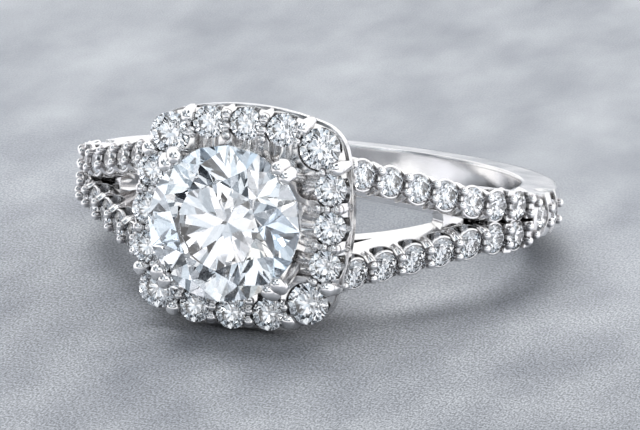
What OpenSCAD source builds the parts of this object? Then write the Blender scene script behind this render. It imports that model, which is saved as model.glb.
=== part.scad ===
// Engagement ring mounting: a white-metal halo ring with split shoulders, lying on its side.
// The ring is drawn with the finger along Z and the head towards -Y, then it is tipped
// until the halo's edge and the back of the shank both touch the plane Z = 0.

/* [Finger] */
// Inside diameter of the ring
finger_d = 16.9; // [16:0.1:18]

/* [Shank] */
// Thickness of the ring at the shoulders
shoulder_t = 1.75; // [1.7:0.01:1.8]
// Thickness of the plain back
back_t = 1.6; // [1.4:0.05:1.7]
// Width of the plain back
back_w = 1.85; // [1.6:0.05:2.2]
// Width of the ring beside the single stones, where the two rows have run out
waist_w = 1.86; // [1.8:0.01:2]
// Radius of the dome across the plain back
back_dome = 2.2; // [2:0.1:6]

/* [Shoulders] */
// Width of one row of stones
row_w = 1.25; // [1.1:0.01:1.27]
// Space between the two rows where they run side by side
row_gap = 0.13; // [0.1:0.01:0.2]
// Lean of each shoulder away from its twin, degrees
split_angle = 15.2; // [14:0.1:16]
// Distance from the finger's axis at which the shoulders begin to lean
split_y = 5; // [4.8:0.1:5.2]
// Angle from the head at which the outer edge leaves the circle, degrees
straight_from = 50.5; // [49:0.5:52]
// Angle from the head at which the fork between the shoulders is closed, degrees
fork_from = 48; // [46:0.5:50]
// Angle from the head at which the groove between the rows ends, degrees
row_end = 77.5; // [77:0.1:78]
// Thickness of the two rails that run on under the head
rail_t = 0.55; // [0.5:0.01:0.6]
// Thickness of the floor between the two rows
floor_t = 0.9; // [0.8:0.01:0.95]

/* [Shoulder stones] */
// Diameter of a shoulder stone
small_d = 1.24; // [1.1:0.01:1.26]
// Distance from one shoulder stone to the next
small_pitch = 1.44; // [1.42:0.01:1.45]
// Stones in one row
small_count = 7; // [6:1:7]
// Distance of the first stone from the start of the straight edge
small_first = 5; // [4.95:0.01:5.05]
// Diameter of the single stones behind each pair of rows
end_d = 1.2; // [1.1:0.01:1.24]
// Angle from the head of the first single stone, degrees
end_first = 83.4; // [83:0.1:84]
// Angle between the two single stones, degrees
end_step = 9.6; // [9:0.1:9.8]

/* [Halo] */
// Distance from the finger's axis to the underside of the halo
halo_base = 10.9; // [10.8:0.05:11]
// Depth of the halo from its rim to its top
halo_t = 1.45; // [1.4:0.01:1.5]
// Half width of the rim
rim_half = 4.65; // [4.6:0.01:4.8]
// Radius of each bowed side
rim_bow = 11; // [10:0.5:14]
// Radius of each corner
rim_corner = 1.6; // [1.4:0.1:1.8]
// Distance of the middle stone of a side from the head's centre
side_out = 3.93; // [3.9:0.01:3.96]
// Distance of a corner stone from the head's centre, along each side
corner_out = 3.22; // [3.2:0.01:3.25]
// Radius of the bowl under the centre stone, at the halo's top
bowl_top_r = 3.12; // [3.05:0.01:3.15]
// Radius of the bowl at the halo's underside
bowl_low_r = 2.1; // [2.05:0.05:2.2]
// Diameter of a stone on a side
side_d = 1.38; // [1.3:0.01:1.4]
// Distance from one side stone to the next
side_pitch = 1.59; // [1.58:0.01:1.62]
// Diameter of a stone at a corner
corner_d = 1.75; // [1.7:0.01:1.8]

/* [Centre stone] */
// Diameter of the centre stone
centre_d = 6.5; // [6.4:0.05:6.5]
// Distance from the finger's axis to the girdle
girdle_height = 14.3; // [14.2:0.05:14.4]
// Radius of one claw
claw_r = 0.3; // [0.29:0.01:0.31]

/* [Hidden] */
small_name = ["right_upper", "right_lower", "left_upper", "left_lower"];
halo_count = 16;
$fn = 48;

// Room left round every stone
play = 0.03;
// Extra length of a cutting shape beyond what it cuts
over = 1;

finger_r = finger_d / 2;
outer_r = finger_r + shoulder_t;
back_r = finger_r + back_t;
rail_r = finger_r + rail_t;
floor_r = finger_r + floor_t;
row_z = (row_w + row_gap) / 2;
shank_half = row_z + row_w / 2;
halo_top = halo_base + halo_t;
bowl_slope = (bowl_top_r - bowl_low_r) / halo_t;
rim_t = 0.45;
rim_step = 0.08;

// Setting cuts: a round-bottomed notch under each stone and a pair of beads between two
small_notch = 0.48;
small_notch_depth = 0.92;
side_notch = 0.5;
corner_notch = 0.66;
notch_in = 1.6;
edge_dip = 0.02;
row_close = 0.07;
small_bead_r = 0.19;
small_bead_z = 0.24;
halo_bead_r = 0.2;
halo_bead_side = 0.23;
// Slopes beside the beads, as distance across and height above the top of the metal
small_slope = [[0.33, 0.19], [0.69, -0.43], [0.69, 0.19]];
small_slope_half = 0.3;
halo_slope = [[0.33, 0.25], [0.81, -0.74], [1.1, -0.74], [1.1, 0.25]];
halo_slope_half = 0.45;
corner_slope_half = 0.6;
side_bow = 0.1;

// Proportions of a round brilliant, as shares of its diameter
table_share = 0.56;
crown_share = 0.16;
girdle_share = 0.03;
pavilion_share = 0.43;
star_share = 0.8;
lower_share = 0.24;
turn = 22.5;

// Where the sides draw in, where the groove ends and where the waist is, along Y
draw_in = -3.6;
row_stop = -outer_r * cos(row_end);
waist = -1.3;
joint = 0.05;
halo_sink = 0.3;
fork_r = 0.6;
fork_back = 2.5;

// Single stones, and the pairs of beads round them as angle and distance from the middle
end_angles = [end_first, end_first + end_step];
end_bead_places = [
    [end_first - 3.8, 0.68],
    [end_first + end_step / 2, 0.32],
    [end_first + end_step + 4.8, 0.35]
];

// Girdles of the small stones, and tables of the halo stones, above the top of the metal
small_girdle = -0.18;
table_proud = 0.1;
function halo_girdle(i) =
    halo_top + table_proud - halo_d(i) * (crown_share + girdle_share / 2);

// Claws and the gallery ring that carries them. Each thickness is a share of the claw's
// radius, and no two are the same, so that no wire touches another along a line.
claw_foot_r = 2.5;
claw_foot_z = 9;
claw_out = 0.27;
claw_tip_out = 0.1;
claw_press = 0.77;
claw_bend_z = 0.12;
claw_tip_z = 0.4;
claw_tip_share = 0.94;
claw_bend_ball = 1.03;
claw_tip_ball = 1.06;
gallery_half = 0.27;
gallery_z = 8.55;
gallery_t = 1.1;

// Tip of the ring: the rim's lower edge and the back's lower edge come to one height
back_edge_r = back_r - back_dome + sqrt(back_dome * back_dome - back_w * back_w / 4);
rest_tilt = atan((rim_half - back_w / 2) / (halo_base + back_edge_r));
rest_height = rim_half * cos(rest_tilt) - halo_base * sin(rest_tilt);

// How far the table reaches forwards and the back reaches backwards from the finger's axis
table_height = girdle_height + centre_d * (crown_share + girdle_share / 2);
reach_head = table_height * cos(rest_tilt) + centre_d / 2 * table_share * sin(rest_tilt);
reach_back = (back_r - back_dome) * cos(rest_tilt) + back_dome;

// Where the shoulder's edge leaves the circle, and how far along it a stone lies
function straight_point(along) =
    [outer_r * sin(straight_from) - along * cos(straight_from),
     -outer_r * cos(straight_from) - along * sin(straight_from)];
function row_angle(along) = straight_from - along / outer_r * 180 / PI;
function row_point(along) = along > 0
    ? straight_point(along)
    : [outer_r * sin(row_angle(along)), -outer_r * cos(row_angle(along))];
function row_turn(along) = along > 0 ? straight_from : row_angle(along);
function stone_along(i) = small_first - i * small_pitch;
// The end of a row closes in on its twin
function row_shift(i) = -max(0, i - small_count + 2) * row_close;

// Halo stones run clockwise from the upper left corner: places in the halo's plane
side_in = side_out - side_bow;
side_row = [[-side_pitch, side_in], [0, side_out], [side_pitch, side_in]];
function quarter(p, k) =
    k == 0 ? p : quarter([p[1], -p[0]], k - 1);
halo_places = [for (k = [0 : 3]) each concat(
    [quarter([-corner_out, corner_out], k)],
    [for (p = side_row) quarter(p, k)]
)];
function halo_d(i) = i % 4 == 0 ? corner_d : side_d;
function halo_angle(i) = i % 4 == 0
    ? 135 - i / 4 * 90
    : 90 - floor(i / 4) * 90;

// A point on a circle, and a ring of points at one height
function polar(r, angle, z) = [r * cos(angle), r * sin(angle), z];
function circle_points(r, z, count, start) =
    [for (k = [0 : count - 1]) polar(r, start + k * 360 / count, z)];

// Round brilliant with its girdle at z = 0 and its table upwards: table, 8 stars, 8 kites,
// 16 upper halves, the girdle, 16 lower halves and 8 pavilion mains
module brilliant(d) {
    r = d / 2;
    table_r = r * table_share;
    crown = d * crown_share;
    half_girdle = d * girdle_share / 2;
    depth = d * pavilion_share;
    star_r = r * star_share;
    star_z = half_girdle + (r - star_r * cos(turn)) / (r - table_r) * crown;
    lower_r = r * lower_share;
    lower_z = -half_girdle - depth + lower_r * cos(turn) / r * depth;
    points = concat(
        circle_points(table_r, half_girdle + crown, 8, 0),
        circle_points(star_r, star_z, 8, turn),
        circle_points(r, half_girdle, 16, 0),
        circle_points(r, -half_girdle, 16, 0),
        circle_points(lower_r, lower_z, 8, turn),
        [[0, 0, -half_girdle - depth]]
    );
    star = 8;
    upper = 16;
    lower = 32;
    mid = 48;
    culet = 56;
    faces = concat(
        [[for (k = [7 : -1 : 0]) k]],
        [for (k = [0 : 7]) [k, (k + 1) % 8, star + k]],
        [for (k = [0 : 7]) [k, star + k, upper + 2 * k, star + (k + 7) % 8]],
        [for (k = [0 : 7]) [star + k, upper + 2 * k + 1, upper + 2 * k]],
        [for (k = [0 : 7]) [star + k, upper + (2 * k + 2) % 16, upper + 2 * k + 1]],
        [for (k = [0 : 15]) [upper + k, upper + (k + 1) % 16, lower + (k + 1) % 16, lower + k]],
        [for (k = [0 : 7]) [mid + k, lower + 2 * k, lower + 2 * k + 1]],
        [for (k = [0 : 7]) [mid + k, lower + 2 * k + 1, lower + (2 * k + 2) % 16]],
        [for (k = [0 : 7]) [culet, mid + (k + 7) % 8, lower + 2 * k, mid + k]]
    );
    polyhedron(points, faces);
}

// Room for a brilliant: a round envelope a little larger than the stone, open above
module seat(d, above) {
    r = d / 2 + play;
    depth = d * pavilion_share + play;
    low = -d * girdle_share / 2 - play;
    translate([0, 0, low])
        cylinder(h = above - low, r = r);
    translate([0, 0, low - depth])
        cylinder(h = depth, r1 = 0.05, r2 = r);
}

// Cushion outline: four bowed sides joined by round corners
module cushion(half) {
    inset = rim_bow - half;
    reach = rim_bow - rim_corner;
    c = (-inset + sqrt(2 * reach * reach - inset * inset)) / 2;
    // A side's arc meets a corner's arc on the line x + y = diamond
    diamond = (c + inset + c) / reach * rim_bow - inset;
    intersection() {
        rotate(45)
            square(diamond * sqrt(2), center = true);
        intersection_for(k = [0 : 3])
            rotate(k * 90)
                translate([-inset, 0])
                    circle(r = rim_bow);
    }
    for (k = [0 : 3])
        rotate(k * 90)
            translate([c, c])
                circle(r = rim_corner);
}

// Round rod from one point to another
module rod(from, to, r) {
    way = to - from;
    translate(from)
        rotate([0, acos(way[2] / norm(way)), atan2(way[1], way[0])])
            cylinder(h = norm(way), r = r);
}

// Outline of a round-bottomed notch that opens at y = 0
module notch(half, depth) {
    translate([0, half - depth])
        circle(r = half);
    translate([-half, half - depth])
        square([2 * half, depth - half + over]);
}

// Wedge under the head between two straight edges that touch a circle, cut off at the top.
// With a dip they start that far inside the circle and cross it in the notch of a stone.
module shoulder_wedge(r, top, dip) {
    touch = (r - dip) * [sin(straight_from), -cos(straight_from)];
    top_x = (r - top * cos(straight_from)) / sin(straight_from);
    polygon([touch, [top_x, -top], [-top_x, -top], [-touch[0], touch[1]]]);
}

// Side view of one row: a circle with straight shoulders up to the halo, cut by the window
// above the finger rail and by a notch under every stone
module row_outline() {
    top = (halo_base + halo_sink - split_y) / cos(split_angle) + split_y;
    difference() {
        union() {
            circle(r = outer_r);
            shoulder_wedge(outer_r, top, edge_dip);
        }
        difference() {
            shoulder_wedge(finger_r, top + over, 0);
            circle(r = rail_r);
        }
        for (flip = [0, 1])
            mirror([flip, 0])
                for (i = [0 : small_count - 1])
                    translate(row_point(stone_along(i)))
                        rotate(row_turn(stone_along(i)) + 180)
                            notch(small_notch, small_notch_depth);
    }
}

// Puts what is drawn for a level row where the leaning part of that row is
module lean(side) {
    translate([0, -split_y, side * row_z])
        rotate([-side * split_angle, 0, 0])
            translate([0, split_y, 0])
                children();
}

// Half space on one side of the mitre between the level and the leaning part
module mitre_half(side, forward) {
    size = 4 * outer_r;
    translate([0, -split_y, side * row_z])
        rotate([-side * split_angle / 2, 0, 0])
            translate([-size / 2, forward ? joint - size : 0, -size / 2])
                cube(size);
}

// Puts what is drawn outwards along Z at one place of a row on the ring
module on_row(side, along) {
    p = row_point(along);
    if (p[1] < -split_y)
        lean(side)
            translate([p[0], p[1], 0])
                rotate([90, 0, row_turn(along)])
                    children();
    else
        translate([p[0], p[1], side * row_z])
            rotate([90, 0, row_turn(along)])
                children();
}

// Puts what is drawn outwards along Z at one stone of a row
module on_stone(side, i) {
    on_row(side, stone_along(i))
        translate([0, side * row_shift(i), 0])
            children();
}

// Puts what is drawn outwards along Z at one angle of the band behind the rows
module on_band(angle) {
    translate([outer_r * sin(angle), back_r - outer_r - outer_r * cos(angle), 0])
        rotate([90, 0, angle])
            children();
}

// Plan of the ring's width: it draws in beyond the shoulders and is even round the back
module width_plan() {
    wide = shank_half;
    narrow = waist_w / 2;
    back = back_w / 2;
    rotate([90, 0, 90])
        linear_extrude(height = 4 * outer_r, center = true)
            polygon([
                [-2 * outer_r, wide], [draw_in, wide], [waist, narrow], [2 * outer_r, back],
                [2 * outer_r, -back], [waist, -narrow], [draw_in, -wide], [-2 * outer_r, -wide]
            ]);
}

// One row on both sides of the head, level round the finger and leaning near the head
module row_plate(side) {
    intersection() {
        translate([0, 0, side * row_z])
            linear_extrude(height = row_w, center = true)
                row_outline();
        mitre_half(side, false);
        width_plan();
        translate([-2 * outer_r, -2 * outer_r, -outer_r])
            cube([4 * outer_r, 2 * outer_r + row_stop, 2 * outer_r]);
    }
    intersection() {
        lean(side)
            linear_extrude(height = row_w, center = true)
                row_outline();
        mitre_half(side, true);
    }
}

// Pairs of beads that hold the stones of one row, on one side of the head
module row_beads(side) {
    for (i = [-0.5 : small_count])
        on_stone(side, i)
            for (across = [-1, 1])
                translate([0, across * small_bead_z, -small_bead_r / 2])
                    sphere(r = small_bead_r);
}

// Pairs of beads that hold the single stones
module end_beads() {
    for (place = end_bead_places)
        on_band(place[0])
            for (across = [-1, 1])
                translate([0, across * place[1], -small_bead_r / 2])
                    sphere(r = small_bead_r);
}

// Slopes both sides of the metal between two stones of a row, outside their beads
module row_slopes(side) {
    for (i = [0.5 : small_count - 2])
        on_row(side, stone_along(i))
            rotate([90, 0, 90])
                linear_extrude(height = 2 * small_slope_half, center = true)
                    for (flip = [0, 1])
                        mirror([flip, 0])
                            polygon(small_slope);
}

// Floor between the two rows, with a round fork where they part
module fork_floor() {
    difference() {
        intersection() {
            cylinder(h = 2 * row_z, r = floor_r, center = true);
            translate([-2 * outer_r, -floor_r * cos(fork_from), -outer_r])
                cube([4 * outer_r, floor_r * cos(fork_from) + row_stop, 2 * outer_r]);
        }
        for (flip = [0, 1])
            mirror([flip, 0, 0])
                rotate([90, 0, fork_from - fork_back])
                    cylinder(h = 2 * outer_r, r = fork_r);
    }
}

// Plain back: a domed band from one pair of rows round to the other, notched under every
// single stone
module plain_back() {
    difference() {
        intersection() {
            translate([0, back_r - outer_r, 0])
                rotate_extrude()
                    intersection() {
                        translate([finger_r - over, -shank_half])
                            square([shoulder_t + over, 2 * shank_half]);
                        translate([outer_r - back_dome, 0])
                            circle(r = back_dome);
                    }
            width_plan();
            translate([-2 * outer_r, row_stop - joint, -outer_r])
                cube([4 * outer_r, 4 * outer_r, 2 * outer_r]);
        }
        for (flip = [0, 1], angle = end_angles)
            mirror([flip, 0, 0])
                on_band(angle)
                    rotate([90, 0, 0])
                        linear_extrude(height = 2 * back_w, center = true)
                            notch(small_notch, small_notch_depth);
    }
}

// Puts what is drawn in the halo's plane, upwards along Z, at the head of the ring
module at_head() {
    rotate([90, 0, 0])
        children();
}

// Halo: a stepped cushion plate with a bowl in its middle and a notch under every stone,
// which opens into the bowl too except at the corners
module halo_plate() {
    difference() {
        union() {
            translate([0, 0, halo_base])
                linear_extrude(height = rim_t)
                    cushion(rim_half);
            translate([0, 0, halo_base])
                linear_extrude(height = halo_t)
                    cushion(rim_half - rim_step);
        }
        translate([0, 0, halo_base - over])
            cylinder(
                h = halo_t + 2 * over,
                r1 = bowl_low_r - over * bowl_slope,
                r2 = bowl_top_r + over * bowl_slope
            );
        for (i = [0 : halo_count - 1])
            translate([halo_places[i][0], halo_places[i][1], halo_top])
                rotate([90, 0, halo_angle(i) + 90])
                    translate([0, 0, i % 4 == 0 ? 0 : -notch_in])
                        linear_extrude(height = notch_in + over)
                            notch(i % 4 == 0 ? corner_notch : side_notch, halo_t - rim_t);
    }
}

// Puts what is drawn between halo stone i and the next, with Y pointing out of the halo
module between_stones(i) {
    a = halo_places[i];
    b = halo_places[(i + 1) % halo_count];
    way = b - a;
    gap = norm(way) - halo_d(i) / 2 - halo_d((i + 1) % halo_count) / 2;
    middle = a + way / norm(way) * (halo_d(i) / 2 + gap / 2);
    translate([middle[0], middle[1], halo_top])
        rotate(atan2(way[1], way[0]))
            children();
}

// Beads between neighbouring halo stones, in pairs across the row
module halo_beads() {
    for (i = [0 : halo_count - 1], across = [-1, 1])
        between_stones(i)
            translate([0, across * halo_bead_side, 0])
                sphere(r = halo_bead_r);
}

// Slopes the outer side of the metal between two halo stones, outside its bead
module halo_slopes() {
    for (i = [0 : halo_count - 1])
        between_stones(i)
            rotate([90, 0, 90])
                linear_extrude(
                    height = 2 * (i % 4 == 0 || i % 4 == 3 ? corner_slope_half : halo_slope_half),
                    center = true
                )
                    polygon(halo_slope);
}

// One double claw: two wires side by side that rise past the halo and bend over the stone
module claw() {
    for (side = [-1, 1]) {
        across = side * claw_r * claw_press;
        foot = [claw_foot_r, across, claw_foot_z];
        bend = [centre_d / 2 + claw_out, across, girdle_height + claw_bend_z];
        tip = [centre_d / 2 + claw_tip_out, across, girdle_height + claw_tip_z];
        rod(foot, bend, claw_r);
        rod(bend, tip, claw_r * claw_tip_share);
        translate(bend)
            sphere(r = claw_r * claw_bend_ball);
        translate(tip)
            sphere(r = claw_r * claw_tip_ball);
    }
}

// Ring under the centre stone that carries the claws on the finger rails
module gallery() {
    translate([0, 0, gallery_z])
        difference() {
            cylinder(h = gallery_t, r = claw_foot_r + gallery_half);
            translate([0, 0, -over])
                cylinder(h = gallery_t + 2 * over, r = claw_foot_r - gallery_half);
        }
}

// Room for the centre stone between the claws, closed above its crown
module centre_envelope() {
    r = centre_d / 2 + play;
    half_girdle = centre_d * girdle_share / 2 + play;
    crown = centre_d * crown_share;
    translate([0, 0, girdle_height]) {
        translate([0, 0, -half_girdle])
            cylinder(h = 2 * half_girdle, r = r);
        translate([0, 0, half_girdle])
            cylinder(h = crown, r1 = r, r2 = r * table_share);
        translate([0, 0, -half_girdle - centre_d * pavilion_share])
            cylinder(h = centre_d * pavilion_share, r1 = 0.05, r2 = r);
    }
}

// Tips the ring until it rests, and sets the origin on the floor under its middle
module resting() {
    translate([0, (reach_head - reach_back) / 2, rest_height])
        rotate([-rest_tilt, 0, 0])
            children();
}

// All the metal: rows, fork, back, halo, claws and gallery are one casting
module mounting() {
    color("gainsboro")
        resting()
            difference() {
                union() {
                    for (side = [-1, 1]) {
                        difference() {
                            row_plate(side);
                            for (flip = [0, 1])
                                mirror([flip, 0, 0])
                                    row_slopes(side);
                        }
                        for (flip = [0, 1])
                            mirror([flip, 0, 0])
                                row_beads(side);
                    }
                    for (flip = [0, 1])
                        mirror([flip, 0, 0])
                            end_beads();
                    fork_floor();
                    plain_back();
                    at_head() {
                        difference() {
                            halo_plate();
                            halo_slopes();
                        }
                        halo_beads();
                        gallery();
                        for (k = [0 : 3])
                            rotate(45 + k * 90)
                                claw();
                    }
                }
                cylinder(h = 4 * outer_r, r = finger_r, center = true);
                for (flip = [0, 1])
                    mirror([flip, 0, 0]) {
                        for (side = [-1, 1], i = [0 : small_count - 1])
                            on_stone(side, i)
                                translate([0, 0, small_girdle])
                                    seat(small_d, small_d);
                        for (angle = end_angles)
                            on_band(angle)
                                translate([0, 0, small_girdle])
                                    seat(end_d, end_d);
                    }
                at_head() {
                    for (i = [0 : halo_count - 1])
                        translate([halo_places[i][0], halo_places[i][1], halo_girdle(i)])
                            seat(halo_d(i), halo_d(i) / 2);
                    centre_envelope();
                }
            }
}

// Centre stone, held by its girdle between the claws
module centre_stone() {
    color("aliceblue")
        resting()
            at_head()
                translate([0, 0, girdle_height])
                    brilliant(centre_d);
}

// One stone of the halo, numbered clockwise from the upper left corner
module halo_stone(i) {
    color("azure")
        resting()
            at_head()
                translate([halo_places[i][0], halo_places[i][1], halo_girdle(i)])
                    brilliant(halo_d(i));
}

// One row of shoulder stones, on one side of the head
module shoulder_stones(side, flip) {
    color("lavender")
        resting()
            mirror([flip, 0, 0])
                for (i = [0 : small_count - 1])
                    on_stone(side, i)
                        translate([0, 0, small_girdle])
                            brilliant(small_d);
}

// Two single stones behind one pair of rows
module end_stones(flip) {
    color("lavender")
        resting()
            mirror([flip, 0, 0])
                for (angle = end_angles)
                    on_band(angle)
                        translate([0, 0, small_girdle])
                            brilliant(end_d);
}

mounting();
centre_stone();
for (i = [1 : halo_count])
    halo_stone(i - 1);
shoulder_stones(1, 0);  // shoulder_stones_right_upper
shoulder_stones(-1, 0);  // shoulder_stones_right_lower
shoulder_stones(1, 1);  // shoulder_stones_left_upper
shoulder_stones(-1, 1);  // shoulder_stones_left_lower
end_stones(0);  // end_stones_right
end_stones(1);  // end_stones_left
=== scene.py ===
import math
import bpy
import bmesh
from mathutils import Matrix, Vector


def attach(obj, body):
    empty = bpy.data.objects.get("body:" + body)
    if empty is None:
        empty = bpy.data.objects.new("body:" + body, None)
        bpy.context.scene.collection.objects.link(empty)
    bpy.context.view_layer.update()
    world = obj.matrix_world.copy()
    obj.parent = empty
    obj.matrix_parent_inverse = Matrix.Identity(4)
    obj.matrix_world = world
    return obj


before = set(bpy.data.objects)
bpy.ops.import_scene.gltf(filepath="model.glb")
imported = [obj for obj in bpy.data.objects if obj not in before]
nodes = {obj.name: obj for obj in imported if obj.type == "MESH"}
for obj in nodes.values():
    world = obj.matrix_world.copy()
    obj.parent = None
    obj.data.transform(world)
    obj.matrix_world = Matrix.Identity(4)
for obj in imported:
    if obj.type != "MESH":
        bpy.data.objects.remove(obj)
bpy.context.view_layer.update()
scene = bpy.context.scene
mm = 0.001
print("frame loaded:", len(nodes), "nodes")

# The ring as it is drawn: finger along Z and head towards -Y, then tipped onto halo and back
ring = {
    "tilt": math.radians(10.179),
    "shift": Vector((0, 2.794857, 2.650499)) * mm,
    "outer": 10.2,
    "back": 10.05,
    "rowHeight": 0.69,
    "splitY": 5.0,
    "splitAngle": math.radians(15.2),
    "straightFrom": math.radians(50.5),
    "haloTop": 12.35,
}
restMatrix = Matrix.Translation(ring["shift"]) @ Matrix.Rotation(-ring["tilt"], 4, "X")


def turned(angle, axis):
    return Matrix.Rotation(angle, 4, axis)


def moved(x, y, z):
    return Matrix.Translation((x, y, z))


# Turns +Z towards -Y, where the head is
standing = turned(math.radians(90), "X")


# Camera, from the front and a little to the right of the head
view = {
    "azimuth": math.radians(16.31),
    "height": math.radians(17.258),
    "roll": math.radians(1.524),
    "pixelsPerMm": 23.549,
    "aimRight": -0.066,
    "aimUp": -1.142,
    "distance": 400.0,
    "clipStart": 0.02,
    "imageWidth": 640,
    "sensor": 36.0,
}


def placeCamera():
    a, e, r = view["azimuth"], view["height"], view["roll"]
    forward = Vector((-math.sin(a) * math.cos(e), math.cos(a) * math.cos(e), -math.sin(e)))
    level = Vector((math.cos(a), math.sin(a), 0))
    upright = level.cross(forward)
    right = level * math.cos(r) + upright * math.sin(r)
    up = -level * math.sin(r) + upright * math.cos(r)
    aim = (right * view["aimRight"] + up * view["aimUp"]) * mm + ring["shift"]
    data = bpy.data.cameras.new("camera")
    data.sensor_width = view["sensor"]
    data.lens = view["pixelsPerMm"] * view["distance"] * view["sensor"] / view["imageWidth"]
    data.clip_start = view["clipStart"]
    camera = bpy.data.objects.new("camera", data)
    camera.matrix_world = (
        Matrix.Translation(aim - forward * view["distance"] * mm)
        @ Matrix((right, up, -forward)).transposed().to_4x4()
    )
    scene.collection.objects.link(camera)
    scene.camera = camera


placeCamera()
print("camera placed")


# Materials
def newMaterial(name):
    material = bpy.data.materials.new(name)
    material.use_nodes = True
    tree = material.node_tree
    return material, tree, tree.nodes["Principled BSDF"]


def groupSocket(group, name, kind, way="INPUT"):
    return group.interface.new_socket(name=name, in_out=way, socket_type="NodeSocket" + kind)


def feed(tree, socket, source):
    # a socket takes another node's output, or else a plain value
    if isinstance(source, bpy.types.NodeSocket):
        tree.links.new(source, socket)
    else:
        socket.default_value = source


def objectPlace(tree):
    return tree.nodes.new("ShaderNodeTexCoord").outputs["Object"]


def splitNode(tree, vector):
    split = tree.nodes.new("ShaderNodeSeparateXYZ")
    tree.links.new(vector, split.inputs["Vector"])
    return split.outputs


def noiseNode(tree, vector, scale, detail):
    noise = tree.nodes.new("ShaderNodeTexNoise")
    noise.inputs["Detail"].default_value = detail
    feed(tree, noise.inputs["Scale"], scale)
    tree.links.new(vector, noise.inputs["Vector"])
    return noise


def rangeNode(tree, value, fromMin, fromMax, toMin=0, toMax=1, smooth=False):
    share = tree.nodes.new("ShaderNodeMapRange")
    if smooth:
        share.interpolation_type = "SMOOTHSTEP"
    feed(tree, share.inputs["Value"], value)
    feed(tree, share.inputs["From Min"], fromMin)
    feed(tree, share.inputs["From Max"], fromMax)
    feed(tree, share.inputs["To Min"], toMin)
    feed(tree, share.inputs["To Max"], toMax)
    return share.outputs["Result"]


def mathNode(tree, operation, *values):
    node = tree.nodes.new("ShaderNodeMath")
    node.operation = operation
    for socket, value in zip(node.inputs, values):
        tree.links.new(value, socket)
    return node.outputs["Value"]


def mixNode(tree, factor, first, second, kind="RGBA", blend="MIX"):
    mix = tree.nodes.new("ShaderNodeMix")
    mix.data_type = kind
    mix.blend_type = blend
    feed(tree, mix.inputs["Factor"], factor)
    feed(tree, mix.inputs["A"], first)
    feed(tree, mix.inputs["B"], second)
    return mix.outputs["Result"]


def rampNode(tree, value, stops):
    ramp = tree.nodes.new("ShaderNodeValToRGB")
    elements = ramp.color_ramp.elements
    elements.remove(elements[1])
    elements[0].position, elements[0].color = stops[0]
    for position, colour in stops[1:]:
        elements.new(position).color = colour
    tree.links.new(value, ramp.inputs["Fac"])
    return ramp.outputs["Color"]


def bumpNode(tree, height, distance, strength):
    bump = tree.nodes.new("ShaderNodeBump")
    bump.inputs["Strength"].default_value = strength
    bump.inputs["Distance"].default_value = distance
    tree.links.new(height, bump.inputs["Height"])
    return bump


metal = {
    "cast": (0.93, 0.922, 0.918, 1),
    # castRecess and beadRecess are painted shade, mixed in where ambient occlusion finds the metal
    # closed in
    "castRecess": (0.26, 0.25, 0.245, 1),
    "castPolish": 0.11,
    "castOpen": 0.88,
    "bead": (0.96, 0.953, 0.95, 1),
    "beadRecess": (0.06, 0.056, 0.054, 1),
    "beadPolish": 0.12,
    "beadOpen": 0.97,
    "reach": 0.5 * mm,
    "blocked": 0.2,
    "cavitySamples": 8,
    # painted shade round the foot of each bead
    "beadRimShade": (0.44, 0.43, 0.435, 1),
    "rimFrom": 0.3,
    "rimTo": 0.85,
    "patch": 1.4 * mm,
    "patchLimits": (0.3, 0.7),
    "patchPolish": (0.6, 1.5),
    "grain": 0.36 * mm,
    "unevenness": 0.0015 * mm,
    "edgeSamples": 6,
    "frontEnds": -1 * mm,
    "frontEdge": 0.07 * mm,
    "backStarts": 5 * mm,
    "backEdge": 0.24 * mm,
}


def metalShadeAndPolish():
    # painted shade darkens the recesses, where ambient occlusion finds the metal closed in; cloudy
    # polish and the slight unevenness of hand-polished metal
    group = bpy.data.node_groups.new("metalShadeAndPolish", "ShaderNodeTree")
    for name in ("Metal", "Recess"):
        groupSocket(group, name, "Color")
    for name in ("Reach", "Open", "Polish"):
        groupSocket(group, name, "Float")
    for name, kind in (("Colour", "Color"), ("Roughness", "Float"), ("Height", "Float")):
        groupSocket(group, name, kind, "OUTPUT")
    link = group.links.new
    given = group.nodes.new("NodeGroupInput").outputs
    result = group.nodes.new("NodeGroupOutput").inputs
    place = objectPlace(group)

    # painted shade: the metal colour darkens towards the Recess colour where ambient occlusion finds
    # it closed in
    cavity = group.nodes.new("ShaderNodeAmbientOcclusion")
    cavity.samples = metal["cavitySamples"]
    link(given["Reach"], cavity.inputs["Distance"])
    openness = rangeNode(group, cavity.outputs["AO"], metal["blocked"], given["Open"], smooth=True)
    link(mixNode(group, openness, given["Recess"], given["Metal"]), result["Colour"])

    clouds = noiseNode(group, place, 1 / metal["patch"], 3)
    spread = rangeNode(group, clouds.outputs["Fac"], *metal["patchLimits"], *metal["patchPolish"])
    link(mathNode(group, "MULTIPLY", spread, given["Polish"]), result["Roughness"])

    grain = noiseNode(group, place, 1 / metal["grain"], 2)
    link(grain.outputs["Fac"], result["Height"])
    return group


metalGroup = metalShadeAndPolish()


def whiteMetal(name, kind):
    material, tree, surface = newMaterial(name)
    surface.inputs["Metallic"].default_value = 1
    finish = tree.nodes.new("ShaderNodeGroup")
    finish.node_tree = metalGroup
    finish.inputs["Metal"].default_value = metal[kind]
    finish.inputs["Recess"].default_value = metal[kind + "Recess"]
    finish.inputs["Reach"].default_value = metal["reach"]
    finish.inputs["Open"].default_value = metal[kind + "Open"]
    finish.inputs["Polish"].default_value = metal[kind + "Polish"]
    tree.links.new(finish.outputs["Colour"], surface.inputs["Base Color"])
    tree.links.new(finish.outputs["Roughness"], surface.inputs["Roughness"])
    bump = bumpNode(tree, finish.outputs["Height"], metal["unevenness"], 1)
    tree.links.new(bump.outputs["Normal"], surface.inputs["Normal"])
    return material, tree, surface, finish, bump


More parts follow.
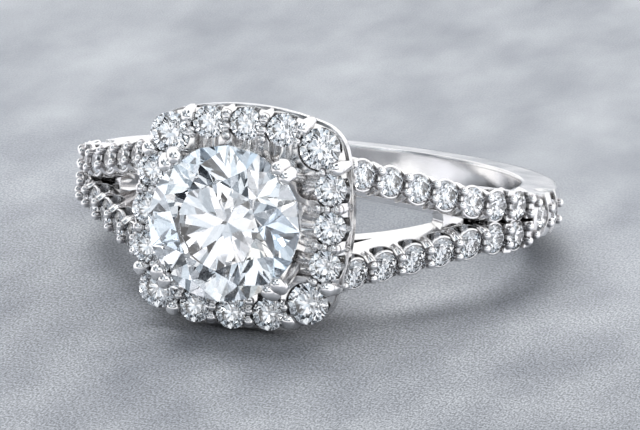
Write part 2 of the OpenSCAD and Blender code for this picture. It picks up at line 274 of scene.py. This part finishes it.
def castFinish():
    # edges are crisp round the stones and worn soft at the back of the band
    material, tree, _, _, bump = whiteMetal("castMetal", "cast")
    depth = splitNode(tree, objectPlace(tree))["Y"]
    ends = metal["frontEnds"], metal["backStarts"], metal["frontEdge"], metal["backEdge"]
    bevel = tree.nodes.new("ShaderNodeBevel")
    bevel.samples = metal["edgeSamples"]
    tree.links.new(rangeNode(tree, depth, *ends), bevel.inputs["Radius"])
    tree.links.new(bevel.outputs["Normal"], bump.inputs["Normal"])
    return material


def beadFinish():
    # painted shade: the small round beads are painted dark round their foot, standing in for the
    # darker metal they mirror there
    material, tree, surface, finish, _ = whiteMetal("beadMetal", "bead")
    away = tree.nodes.new("ShaderNodeAttribute")
    away.attribute_name = "away"
    foot = rangeNode(tree, away.outputs["Fac"], metal["rimFrom"], metal["rimTo"], smooth=True)
    tone = mixNode(tree, foot, finish.outputs["Colour"], metal["beadRimShade"])
    tree.links.new(tone, surface.inputs["Base Color"])
    return material


# Stones: painted fire tints of the facets, and for each kind how finely the tints change and how
# strong they are
clear, cool = (0.99, 0.99, 0.995, 1), (0.85, 0.94, 1.0, 1)
blue, warm = (0.50, 0.76, 1.0, 1), (1.0, 0.90, 0.72, 1)
diamond = {
    "clear": clear,
    # painted fire: blue, cool, clear and amber facet tints
    "tints": [
        (0, blue),
        (0.30, blue),
        (0.36, cool),
        (0.48, cool),
        (0.52, clear),
        (0.68, clear),
        (0.72, warm),
    ],
    "index": 2.42,
    "kinds": {"centre": (7.0, 0.6), "halo": (11.0, 0.3), "shoulder": (11.0, 0.3), "end": (9.0, 0.3)},
}


def paintedFacetFire():
    # painted fire: a clear stone with a faint painted tint on each facet, and a few blue or amber ones
    # for the colours that dispersion splits out of light
    group = bpy.data.node_groups.new("paintedFacetFire", "ShaderNodeTree")
    groupSocket(group, "Scale", "Float")
    groupSocket(group, "Tint", "Float")
    groupSocket(group, "Colour", "Color", "OUTPUT")
    given = group.nodes.new("NodeGroupInput").outputs
    result = group.nodes.new("NodeGroupOutput").inputs
    facet = group.nodes.new("ShaderNodeNewGeometry")
    fire = noiseNode(group, facet.outputs["True Normal"], given["Scale"], 0)
    tint = rampNode(group, fire.outputs["Fac"], diamond["tints"])
    group.links.new(mixNode(group, given["Tint"], diamond["clear"], tint), result["Colour"])
    return group


fireGroup = paintedFacetFire()


def cutDiamond(name, scale, tint):
    material, tree, surface = newMaterial(name)
    fire = tree.nodes.new("ShaderNodeGroup")
    fire.node_tree = fireGroup
    fire.inputs["Scale"].default_value = scale
    fire.inputs["Tint"].default_value = tint
    tree.links.new(fire.outputs["Colour"], surface.inputs["Base Color"])
    surface.inputs["Roughness"].default_value = 0
    surface.inputs["IOR"].default_value = diamond["index"]
    surface.inputs["Transmission Weight"].default_value = 1
    return material


castMetal = castFinish()
beadMetal = beadFinish()
stoneMaterials = {kind: cutDiamond(kind + "Diamond", *fire) for kind, fire in diamond["kinds"].items()}
for name, node in nodes.items():
    node.data.materials.clear()
    node.data.materials.append(castMetal if name == "mounting" else stoneMaterials[name.split("_")[0]])
print("materials made")


# Pieces
def finishPiece(name, shape, material):
    bmesh.ops.recalc_face_normals(shape, faces=shape.faces)
    bmesh.ops.transform(shape, matrix=Matrix.Scale(mm, 4), verts=shape.verts)
    mesh = bpy.data.meshes.new(name)
    shape.to_mesh(mesh)
    shape.free()
    mesh.transform(restMatrix)
    mesh.shade_smooth()
    mesh.materials.append(material)
    piece = bpy.data.objects.new(name, mesh)
    scene.collection.objects.link(piece)
    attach(piece, "root")
    return piece


def lobe(length, startRadius, endRadius, around=16, rimShaded=True):
    # a rounded bar along Z: a ball whose two halves are drawn apart
    shape = bmesh.new()
    away = shape.verts.layers.float.new("away")
    bmesh.ops.create_uvsphere(shape, u_segments=around, v_segments=around // 2, radius=1)
    # painted shade mask: it grows where the surface turns away from the bar's axis
    if rimShaded:
        for v in shape.verts:
            v[away] = 1 - max(0, v.co.z)
    level = 0.001
    upper = [v for v in shape.verts if v.co.z > level]
    lower = [v for v in shape.verts if v.co.z < -level]
    middle = [v for v in shape.verts if abs(v.co.z) <= level]
    bmesh.ops.scale(shape, vec=(endRadius,) * 3, verts=upper)
    bmesh.ops.scale(shape, vec=(startRadius,) * 3, verts=lower)
    bmesh.ops.scale(shape, vec=((startRadius + endRadius) / 2,) * 3, verts=middle)
    bmesh.ops.translate(shape, vec=(0, 0, length), verts=upper)
    bmesh.ops.translate(shape, vec=(0, 0, length / 2), verts=middle)
    mesh = bpy.data.meshes.new("lobe")
    shape.to_mesh(mesh)
    shape.free()
    return mesh


def stamp(shape, template, place):
    copy = template.copy()
    copy.transform(place)
    shape.from_mesh(copy)
    bpy.data.meshes.remove(copy)


def between(start, end):
    start, end = Vector(start), Vector(end)
    return Matrix.Translation(start) @ (end - start).to_track_quat("Z", "Y").to_matrix().to_4x4()


def mirrors():
    # the right half of the ring and its left
    return [Matrix.Scale(flip, 4, (1, 0, 0)) for flip in (1, -1)]


# The rows of stones on the shoulders, as in the solids, with their beads and prongs
rows = {
    "first": 5.0,
    "pitch": 1.44,
    "count": 7,
    "closing": 0.07,
    "bead": 0.205,
    "beadLength": 0.36,
    "beadSide": 0.3,
    "beadHeight": -0.3,
    "prongLength": 0.48,
    "prongRadii": (0.19475, 0.1845),
    "prongTop": (0.38, -0.12),
    "prongFoot": (0.55, -0.56),
}


def rowPoint(along):
    # straight near the head, round behind
    a = ring["straightFrom"]
    if along > 0:
        x = ring["outer"] * math.sin(a) - along * math.cos(a)
        y = -ring["outer"] * math.cos(a) - along * math.sin(a)
        return x, y, a
    a -= along / ring["outer"]
    return ring["outer"] * math.sin(a), -ring["outer"] * math.cos(a), a


def rowMatrix(side, place):
    # stands a shape that points along +Z on the row, at a stone's number or between two
    x, y, a = rowPoint(rows["first"] - place * rows["pitch"])
    upright = standing @ turned(a, "Y")
    shiftIn = -max(0, place - rows["count"] + 2) * rows["closing"] * side
    if y < -ring["splitY"]:
        leaning = (
            moved(0, -ring["splitY"], side * ring["rowHeight"])
            @ turned(-side * ring["splitAngle"], "X")
            @ moved(0, ring["splitY"], 0)
        )
        return leaning @ moved(x, y, 0) @ upright @ moved(0, shiftIn, 0)
    return moved(x, y, side * ring["rowHeight"]) @ upright @ moved(0, shiftIn, 0)


def shoulderBeads():
    # a pair of beads between two stones, each with a half-round prong down its side of the row
    shape = bmesh.new()
    bead = lobe(rows["beadLength"], rows["bead"], rows["bead"])
    prong = lobe(rows["prongLength"], *rows["prongRadii"], rimShaded=False)
    (topOut, topHeight), (footOut, footHeight) = rows["prongTop"], rows["prongFoot"]
    for mirror in mirrors():
        for side in (1, -1):
            for k in range(rows["count"] + 1):
                place = mirror @ rowMatrix(side, k - 0.5)
                for across in (-1, 1):
                    stamp(shape, bead, place @ moved(0, across * rows["beadSide"], rows["beadHeight"]))
                    lean = between((0, across * topOut, topHeight), (0, across * footOut, footHeight))
                    stamp(shape, prong, place @ lean)
    finishPiece("shoulderBeads", shape, beadMetal)


cuts = {"radius": 0.65, "wire": 0.075, "section": 8, "height": -0.24, "steps": 24}


def cutEdge():
    # bright-cut edge round a stone: a thin wire spun into a ring
    shape = bmesh.new()
    section = bmesh.ops.create_circle(shape, segments=cuts["section"], radius=cuts["wire"])["verts"]
    bmesh.ops.transform(shape, matrix=moved(cuts["radius"], 0, 0) @ standing, verts=section)
    bmesh.ops.spin(
        shape,
        geom=shape.verts[:] + shape.edges[:],
        cent=(0, 0, 0),
        axis=(0, 0, 1),
        angle=2 * math.pi,
        steps=cuts["steps"],
        use_merge=True,
    )
    mesh = bpy.data.meshes.new("cutEdge")
    shape.to_mesh(mesh)
    shape.free()
    return mesh


def cutEdges():
    shape = bmesh.new()
    edge = cutEdge()
    for mirror in mirrors():
        for side in (1, -1):
            for k in range(rows["count"]):
                stamp(shape, edge, mirror @ rowMatrix(side, k) @ moved(0, 0, cuts["height"]))
    finishPiece("cutEdges", shape, castMetal)


# Beads beside the single stones behind the rows: angle round the ring, and how far to the side
ends = {
    "places": [(79.6, 0.68), (88.2, 0.32), (97.8, 0.35)],
    "bead": 0.2,
    "beadLength": 0.3,
    "beadHeight": -0.3,
}


def endBeads():
    shape = bmesh.new()
    bead = lobe(ends["beadLength"], ends["bead"], ends["bead"])
    centre = ring["back"] - ring["outer"]
    for mirror in mirrors():
        for angle, out in ends["places"]:
            a = math.radians(angle)
            onRing = moved(ring["outer"] * math.sin(a), centre - ring["outer"] * math.cos(a), 0)
            place = mirror @ onRing @ standing @ turned(a, "Y")
            for across in (-1, 1):
                stamp(shape, bead, place @ moved(0, across * out, ends["beadHeight"]))
    finishPiece("endBeads", shape, beadMetal)


halo = {
    "sideOut": 3.93,
    "sideDrop": 0.1,
    "sidePitch": 1.59,
    "corner": 3.22,
    "sideSize": 1.38,
    "cornerSize": 1.75,
    "around": 20,
}
# Bars between two stones of the halo: start and end as (out, up), both radii, and whether it is a bead
# with painted rim shade
haloBars = {
    "sideProng": [
        ((0.38, -0.05), (0.34, 0.01), (0.24, 0.2208), True),
        ((0.38, -0.05), (0.54, -0.9), (0.24, 0.204), False),
    ],
    "cornerProng": [
        ((0.5, -0.05), (0.46, 0.01), (0.33, 0.3036), False),
        ((0.5, -0.05), (0.66, -0.9), (0.33, 0.2805), False),
    ],
    "middleBead": [((-0.1, -0.1), (-0.1, 0.03), (0.19, 0.19), True)],
    "innerBead": [((-0.5, -0.12), (-0.5, 0.0), (0.21, 0.21), True)],
    "bowlRib": [
        ((-0.52, -0.14), (-0.78, -0.24), (0.2025, 0.27), False),
        ((-0.78, -0.24), (-1.42, -1.2), (0.27, 0.3105), False),
    ],
}


def haloPlaces():
    # clockwise from the upper left corner, where every fourth stone is a larger one
    inner = halo["sideOut"] - halo["sideDrop"]
    places = [
        Vector((-halo["corner"], halo["corner"])),
        Vector((-halo["sidePitch"], inner)),
        Vector((0, halo["sideOut"])),
        Vector((halo["sidePitch"], inner)),
    ]
    for _ in range(3 * len(places)):
        quarterBack = places[-4]
        places.append(Vector((quarterBack.y, -quarterBack.x)))
    return places


def addBars(shape, kind, middle, outward):
    for start, end, radii, rimShaded in haloBars[kind]:
        points = []
        for out, height in (start, end):
            p = middle + outward * out
            points.append(Vector((p.x, p.y, ring["haloTop"] + height)))
        length = (points[1] - points[0]).length
        stamp(shape, lobe(length, *radii, halo["around"], rimShaded), between(*points))


def haloBeads():
    # prongs outside the stones, beads between and inside them, and ribs down into the bowl
    shape, ribs = bmesh.new(), bmesh.new()
    places = haloPlaces()
    sizes = [halo["cornerSize"] if i % 4 == 0 else halo["sideSize"] for i in range(len(places))]
    for i, a in enumerate(places):
        nextOne = (i + 1) % len(places)
        b = places[nextOne]
        way = (b - a).normalized()
        gap = (b - a).length - sizes[i] / 2 - sizes[nextOne] / 2
        middle = a + way * (sizes[i] / 2 + gap / 2)
        outward = Vector((-way.y, way.x))
        atCorner = i % 4 in (0, 3)
        addBars(shape, "cornerProng" if atCorner else "sideProng", middle, outward)
        addBars(shape, "middleBead", middle, outward)
        if not atCorner:
            addBars(shape, "innerBead", middle, outward)
            addBars(ribs, "bowlRib", middle, outward)
    bmesh.ops.transform(shape, matrix=standing, verts=shape.verts)
    bmesh.ops.transform(ribs, matrix=standing, verts=ribs.verts)
    finishPiece("haloBeads", shape, beadMetal)
    finishPiece("bowlRibs", ribs, castMetal)


claws = {
    "girdle": 14.3,
    "stone": 3.25,
    "around": 24,
    "footOut": 2.5,
    "footHeight": 9.0,
    "footRadius": 0.28,
    "rootApart": 0.2,
    "bendOut": 0.3,
    "bendRise": 0.08,
    "bendRadii": (0.2976, 0.31),
    "tipApart": 0.24,
    "tipOut": 0.13,
    "tipRise": 0.4,
    "tipRadius": 0.3038,
}


def centreClaws():
    # four split claws, each a pair of wires that part towards the tips
    shape = bmesh.new()
    below, above = claws["bendRadii"]
    bendOut, bendHeight = claws["stone"] + claws["bendOut"], claws["girdle"] + claws["bendRise"]
    tipOut, tipHeight = claws["stone"] + claws["tipOut"], claws["girdle"] + claws["tipRise"]
    for k in range(4):
        turn = turned(math.radians(45 + 90 * k), "Z")
        for side in (-1, 1):
            foot = Vector((claws["footOut"], side * claws["rootApart"], claws["footHeight"]))
            bend = Vector((bendOut, side * claws["rootApart"], bendHeight))
            tip = Vector((tipOut, side * claws["tipApart"], tipHeight))
            wire = lobe((bend - foot).length, claws["footRadius"], below, claws["around"], False)
            stamp(shape, wire, turn @ between(foot, bend))
            wire = lobe((tip - bend).length, above, claws["tipRadius"], claws["around"], False)
            stamp(shape, wire, turn @ between(bend, tip))
    bmesh.ops.transform(shape, matrix=standing, verts=shape.verts)
    finishPiece("centreClaws", shape, beadMetal)


shoulderBeads()
cutEdges()
endBeads()
haloBeads()
centreClaws()
print("beads and claws made")


# Pale floor and soft light
ground = {
    "size": 3,
    "tones": [(0.30, (0.288, 0.302, 0.328, 1)), (0.70, (0.425, 0.44, 0.462, 1))],
    # painted shade: the floor is darker towards the camera
    "front": -14 * mm,
    "frontShade": 0.62,
    "back": 12 * mm,
    "backShade": 0.73,
    "stretch": (1, 0.5, 1),
    "patch": 0.25 / mm,
    "grain": 12.0 / mm,
    "grainLimits": (0.35, 0.65),
    "grainShades": (0.6, 1.4),
    "fadeFrom": -8 * mm,
    "fadeTo": 18 * mm,
    "fade": 0.88,
    "relief": 0.03 * mm,
    "reliefStrength": 0.6,
    # painted reflection: the paler floor that glossy rays see beside the ring
    "mirrored": (0.54, 0.54, 0.56, 1),
    "mirroredFrom": 11 * mm,
    "mirroredTo": 17 * mm,
    "roughness": 0.6,
}


def paleFloor():
    material, tree, surface = newMaterial("paleFloor")
    surface.inputs["Roughness"].default_value = ground["roughness"]
    link = tree.links.new
    place = objectPlace(tree)
    split = splitNode(tree, place)
    stretch = tree.nodes.new("ShaderNodeMapping")
    stretch.inputs["Scale"].default_value = ground["stretch"]
    link(place, stretch.inputs["Vector"])
    clouds = noiseNode(tree, stretch.outputs["Vector"], ground["patch"], 3)
    grain = noiseNode(tree, stretch.outputs["Vector"], ground["grain"], 2)
    tone = rampNode(tree, clouds.outputs["Fac"], ground["tones"])

    # painted shade: a little darker towards the camera, standing in for the soft shade the ring casts
    # in front of it
    depths = ground["front"], ground["back"], ground["frontShade"], ground["backShade"]
    depth = rangeNode(tree, split["Y"], *depths, smooth=True)
    # fine grain over the clouds, which fades towards the back
    speckle = rangeNode(tree, grain.outputs["Fac"], *ground["grainLimits"], *ground["grainShades"])
    fade = rangeNode(tree, split["Y"], ground["fadeFrom"], ground["fadeTo"], 0, ground["fade"])
    fine = mixNode(tree, fade, speckle, 1, "FLOAT")
    shaded = mixNode(tree, 1, tone, mathNode(tree, "MULTIPLY", depth, fine), blend="MULTIPLY")
    # painted reflection: to glossy rays the floor on both sides of the ring is painted paler, so the
    # metal mirrors it like the cards of a photographer
    ray = tree.nodes.new("ShaderNodeLightPath")
    aside = mathNode(tree, "ABSOLUTE", split["X"])
    beyond = rangeNode(tree, aside, ground["mirroredFrom"], ground["mirroredTo"])
    mirrored = mathNode(tree, "MULTIPLY", ray.outputs["Is Glossy Ray"], beyond)
    link(mixNode(tree, mirrored, shaded, ground["mirrored"]), surface.inputs["Base Color"])

    bump = bumpNode(tree, grain.outputs["Fac"], ground["relief"], ground["reliefStrength"])
    link(bump.outputs["Normal"], surface.inputs["Normal"])
    return material


bpy.ops.mesh.primitive_plane_add(size=ground["size"], location=(0, 0, 0))
floor = bpy.context.object
floor.name = "floor"
floor.data.materials.append(paleFloor())


# The tent: where its brightness steps from one level to the next, and the dark band over its foot
studio = {
    "levels": [
        (0.0, (0.03, 0.034, 0.04, 1)),
        (0.40, (0.18, 0.20, 0.23, 1)),
        (0.44, (0.42, 0.47, 0.52, 1)),
        (0.48, (0.72, 0.78, 0.84, 1)),
        (0.54, (1.26, 1.26, 1.27, 1)),
    ],
    "soft": 0.008,
    "patch": 2.8,
    "seed": 31.0,
    "whole": (1.0, 1.0, 1.01, 1),
    "band": [(0.0, 1.0), (0.14, 1.0), (0.18, 0.1), (0.26, 0.1), (0.31, 1.0)],
    "bandAhead": (-0.25, -0.6),
    "cardTop": (0.17, 0.14),
    "behind": (0.05, 0.35),
}


def softWorld():
    # a pale tent with darker gaps, and a dark band above a white card round its foot
    world = bpy.data.worlds.new("studio")
    scene.world = world
    world.use_nodes = True
    tree = world.node_tree
    around = tree.nodes.new("ShaderNodeTexCoord").outputs["Generated"]
    split = splitNode(tree, around)
    gaps = noiseNode(tree, around, studio["patch"], 1)
    gaps.noise_dimensions = "4D"
    gaps.inputs["W"].default_value = studio["seed"]
    stops = [studio["levels"][0]]
    for (_, lower), (start, upper) in zip(studio["levels"], studio["levels"][1:]):
        stops += [(start - studio["soft"], lower), (start + studio["soft"], upper)]
    levels = rampNode(tree, gaps.outputs["Fac"], stops)
    greys = [(position, (level, level, level, 1)) for position, level in studio["band"]]
    band = rampNode(tree, split["Z"], greys)
    ahead = rangeNode(tree, split["Y"], *studio["bandAhead"])
    banded = mixNode(tree, ahead, levels, band, blend="MULTIPLY")
    # the card, and the tent behind the ring, are whole
    card = rangeNode(tree, split["Z"], *studio["cardTop"])
    behind = rangeNode(tree, split["Y"], *studio["behind"])
    share = mathNode(tree, "MAXIMUM", card, behind)
    tent = mixNode(tree, share, banded, studio["whole"])
    tree.links.new(tent, tree.nodes["Background"].inputs["Color"])


softWorld()


# Soft lamps: place, size, power, and whether they are seen through the stones
lamps = {
    "topLight": ((-0.16, 0.06, 0.5), (0.4, 0.4), 2.3, True),
    "frontLight": ((0.06, -0.5, 0.2), (0.35, 0.25), 2.8, False),
}


def softbox(name, position, size, power, seenThrough):
    data = bpy.data.lights.new(name, "AREA")
    data.shape = "RECTANGLE"
    data.size, data.size_y = size
    data.energy = power
    lamp = bpy.data.objects.new(name, data)
    lamp.location = position
    lamp.rotation_euler = (-Vector(position)).to_track_quat("-Z", "Y").to_euler()
    # neither lamp is mirrored in the metal or on a facet
    lamp.visible_glossy = False
    lamp.visible_transmission = seenThrough
    scene.collection.objects.link(lamp)


for name, values in lamps.items():
    softbox(name, *values)
print("floor and light set")

# High contrast deepens the gaps between the beads, as in a jeweller's photograph
scene.view_settings.view_transform = "Standard"
scene.view_settings.look = "High Contrast"
scene.view_settings.exposure = -0.27
# a ray meets many facets before it leaves a stone
scene.cycles.max_bounces = 20
scene.cycles.transmission_bounces = 20
scene.cycles.glossy_bounces = 8
